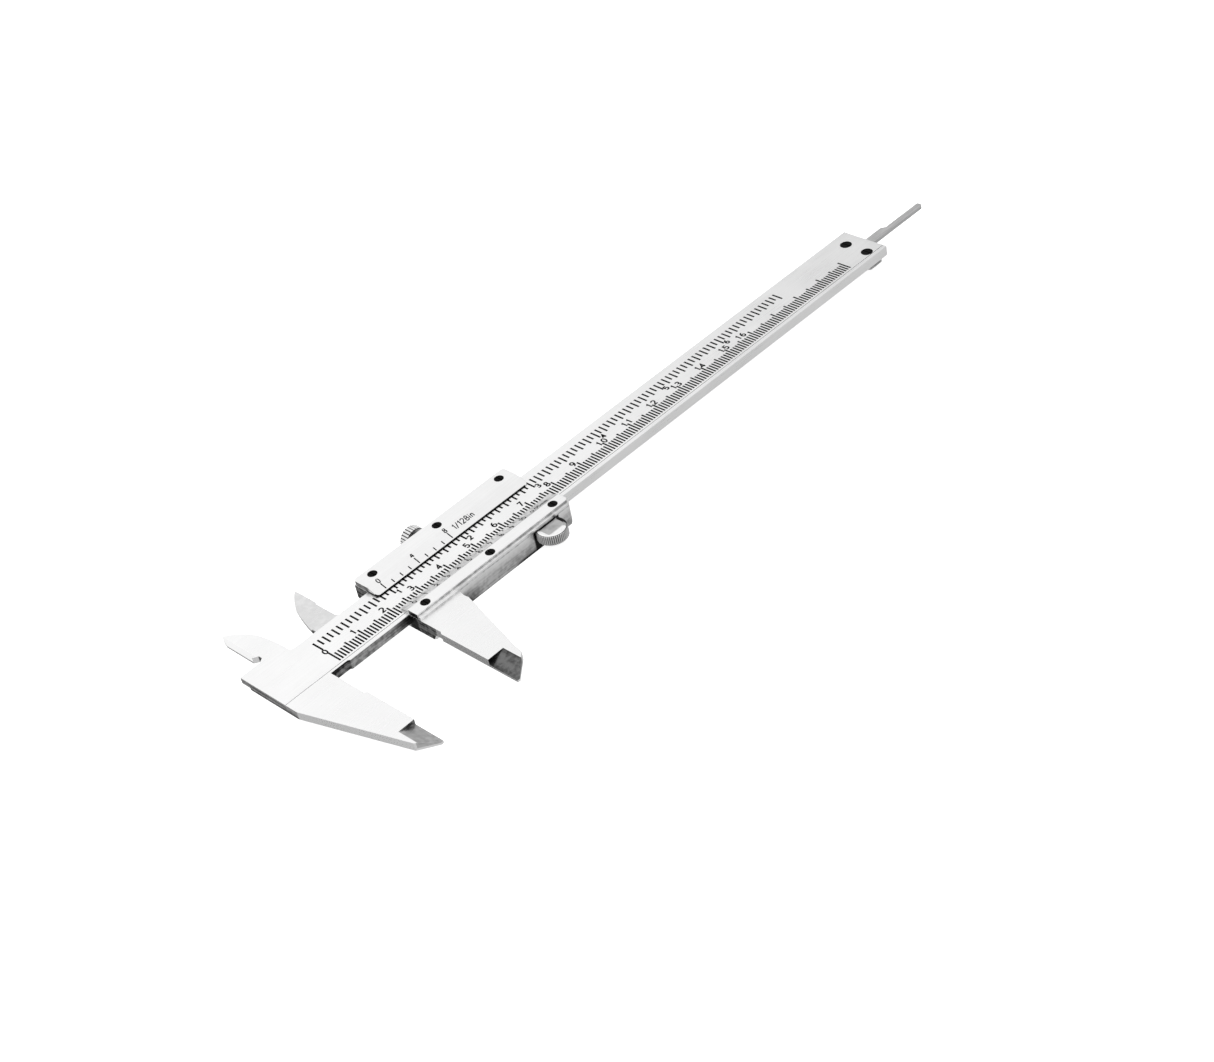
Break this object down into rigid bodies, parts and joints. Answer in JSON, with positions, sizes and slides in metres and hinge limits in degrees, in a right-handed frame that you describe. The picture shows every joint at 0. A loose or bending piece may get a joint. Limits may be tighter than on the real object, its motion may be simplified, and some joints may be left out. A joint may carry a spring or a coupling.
{
  "type": "vernier caliper",
  "caption": "Vernier caliper with outside jaws, inside jaws, a depth rod, a sliding vernier frame and a knurled locking screw.",
  "frame": {"origin": "on the fixed outside jaw's measuring face, half-way down the 40 mm jaw and at mid thickness", "axes": "+X along the beam, from the fixed jaw towards the depth rod's tip; +Y from the outside jaws towards the inside jaws; +Z out of the engraved face"},
  "size_m": [0.258, 0.076, 0.0078],
  "materials": {
    "satin_steel": "satin ground stainless steel",
    "plate_steel": "satin chrome-plated steel",
    "knurled_steel": "knurled bright steel",
    "dull_steel": "plain unpolished steel",
    "black_screw": "blackened steel",
    "bronze": "plain bronze strip"
  },
  "bodies": {
    "beam": {"main_beam": "satin_steel", "end_stop_plate": "dull_steel", "end_stop_screws": "black_screw"},
    "slider": {"slider_frame": "satin_steel", "upper_vernier_plate": "plate_steel", "upper_plate_screws": "black_screw", "lower_vernier_plate": "plate_steel", "lower_plate_screws": "black_screw", "gib_screws": "black_screw", "depth_rod": "dull_steel", "depth_rod_pins": "dull_steel", "thumb_rest": "knurled_steel", "thumb_rest_pin": "dull_steel"},
    "gib": {"gib_strip": "bronze"},
    "lock": {"lock_screw": "knurled_steel"}
  },
  "joints": [
    {"name": "slider_travel", "type": "slide", "parent": "beam", "child": "slider", "axis": [1, 0, 0], "range_m": [-0.02499, 0.12999]},
    {"name": "lock_screw_turn", "type": "hinge", "parent": "slider", "child": "lock", "pos_m": [0.0481, 0.0413, 0], "axis": [0, -1, 0], "range_deg": [0, 60]},
    {"name": "gib_press", "type": "slide", "parent": "slider", "child": "gib", "axis": [0, -1, 0], "range_m": [0, 0.0000833]}
  ],
  "couplings": [
    {"joint": "lock_screw_turn", "follows": "gib_press", "rad_per_m": 12566}
  ]
}
